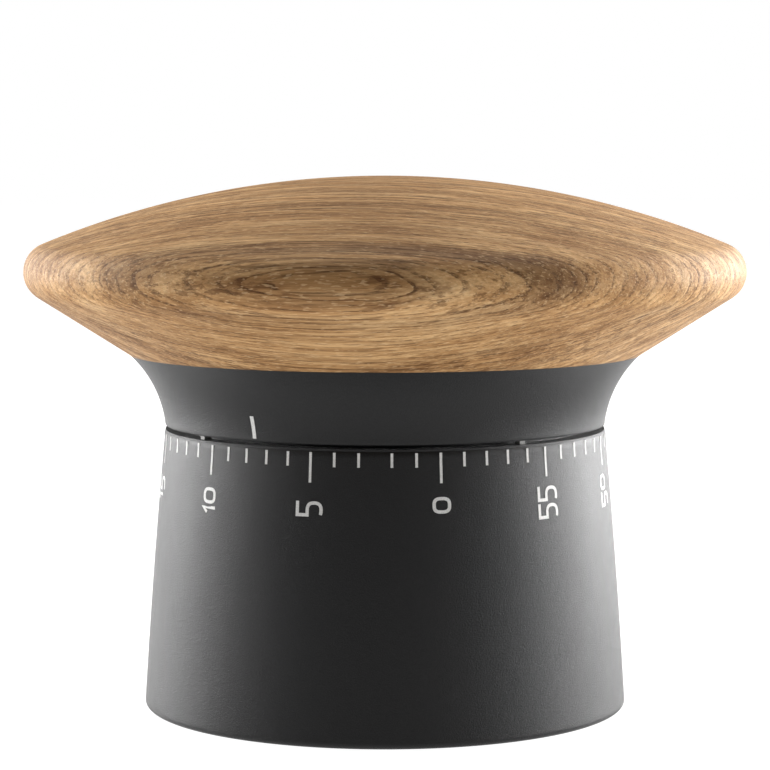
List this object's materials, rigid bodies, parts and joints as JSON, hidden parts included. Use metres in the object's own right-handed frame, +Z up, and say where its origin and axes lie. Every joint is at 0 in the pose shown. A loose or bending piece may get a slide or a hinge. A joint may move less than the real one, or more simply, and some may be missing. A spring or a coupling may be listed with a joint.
{
  "type": "kitchen timer",
  "caption": "Wind-up kitchen timer: a wide lens-shaped oak knob on a flared black skirt turns on a conical black base marked with a minute scale.",
  "frame": {"origin": "centre of the underside, on the plane the foot ring stands on", "axes": "+Z up along the knob's axis, -Y towards the scale's 0 mark"},
  "size_m": [0.09, 0.09, 0.0667],
  "materials": {
    "oak": "oiled",
    "black_plastic": "fine grained soft matte",
    "cover_plastic": "matte",
    "glide_plastic": "satin nylon",
    "foot_rubber": "matte",
    "screw_steel": "zinc plated",
    "movement_brass": "satin",
    "spacer_steel": "turned",
    "arbor_steel": "polished",
    "spring_steel": "blued",
    "bell_plate": "nickel plated"
  },
  "bodies": {
    "case": {"base_shell": "black_plastic", "inner_can": "black_plastic", "bottom_cover": "cover_plastic", "foot_ring": "foot_rubber", "cover_screw_1": "screw_steel", "cover_screw_2": "screw_steel", "cover_screw_3": "screw_steel", "lower_plate": "movement_brass", "upper_plate": "movement_brass", "pillar_1": "movement_brass", "pillar_2": "movement_brass", "pillar_3": "movement_brass", "pillar_4": "movement_brass", "spacer_1": "spacer_steel", "spacer_2": "spacer_steel", "spacer_3": "spacer_steel", "movement_screw_1": "screw_steel", "movement_screw_2": "screw_steel", "movement_screw_3": "screw_steel", "lower_bush": "movement_brass", "upper_bush": "movement_brass", "spring_post": "spacer_steel", "stop_post": "spacer_steel", "hairspring_stud": "spacer_steel", "hammer_stud": "spacer_steel", "bell": "bell_plate", "bell_post": "spacer_steel", "bell_screw": "screw_steel", "mainspring": "spring_steel", "hairspring": "spring_steel", "hammer_spring": "spring_steel"},
    "knob": {"oak_top": "oak", "knob_skirt": "black_plastic", "glide_tab_1": "glide_plastic", "glide_tab_2": "glide_plastic", "glide_tab_3": "glide_plastic", "glide_tab_4": "glide_plastic", "top_screw_1": "screw_steel", "top_screw_2": "screw_steel", "top_screw_3": "screw_steel", "main_arbor": "arbor_steel", "arbor_clip": "arbor_steel", "alarm_cam": "arbor_steel", "ratchet_wheel": "arbor_steel", "click": "arbor_steel", "click_spring": "spring_steel", "main_wheel": "movement_brass", "stop_finger": "arbor_steel"},
    "second_train": {"second_arbor": "arbor_steel", "second_wheel": "movement_brass"},
    "third_train": {"third_arbor": "arbor_steel", "third_wheel": "movement_brass"},
    "escape_train": {"escape_arbor": "arbor_steel", "escape_wheel": "movement_brass"},
    "balance": {"balance_staff": "arbor_steel", "balance_wheel": "movement_brass", "anchor": "arbor_steel"},
    "hammer": {"hammer_lever": "arbor_steel", "hammer_head": "arbor_steel"}
  },
  "joints": [
    {"name": "knob_turn", "type": "hinge", "parent": "case", "child": "knob", "pos_m": [0, 0, 0.04], "axis": [0, 0, -1], "range_deg": [-46.94, 298.06], "deforming": ["mainspring", "hammer_spring"]},
    {"name": "second_arbor_turn", "type": "hinge", "parent": "case", "child": "second_train", "pos_m": [-0.01156, -0.00421, 0], "axis": [0, 0, -1], "range_deg": [-2147, 339]},
    {"name": "third_arbor_turn", "type": "hinge", "parent": "case", "child": "third_train", "pos_m": [-0.00434, -0.01183, 0], "axis": [0, 0, -1], "range_deg": [-2029, 12877]},
    {"name": "escape_arbor_turn", "type": "hinge", "parent": "case", "child": "escape_train", "pos_m": [0.00616, -0.01167, 0], "axis": [0, 0, -1], "range_deg": [-77257, 12169]},
    {"name": "balance_swing", "type": "hinge", "parent": "case", "child": "balance", "pos_m": [0.01119, -0.00841, 0], "axis": [0, 0, 1], "range_deg": [-8, 8], "stiffness_Nm_per_rad": 0.000001, "deforming": ["hairspring"]},
    {"name": "hammer_lift", "type": "hinge", "parent": "case", "child": "hammer", "pos_m": [-0.0155, -0.00564, 0], "axis": [0, 0, 1], "range_deg": [-1.2, 7.5]}
  ],
  "couplings": [
    {"joint": "second_arbor_turn", "follows": "knob_turn", "ratio": -7.2},
    {"joint": "third_arbor_turn", "follows": "knob_turn", "ratio": 43.2},
    {"joint": "escape_arbor_turn", "follows": "knob_turn", "ratio": -259.2},
    {"joint": "hammer_lift", "follows": "knob_turn", "ratio": 0.025}
  ]
}
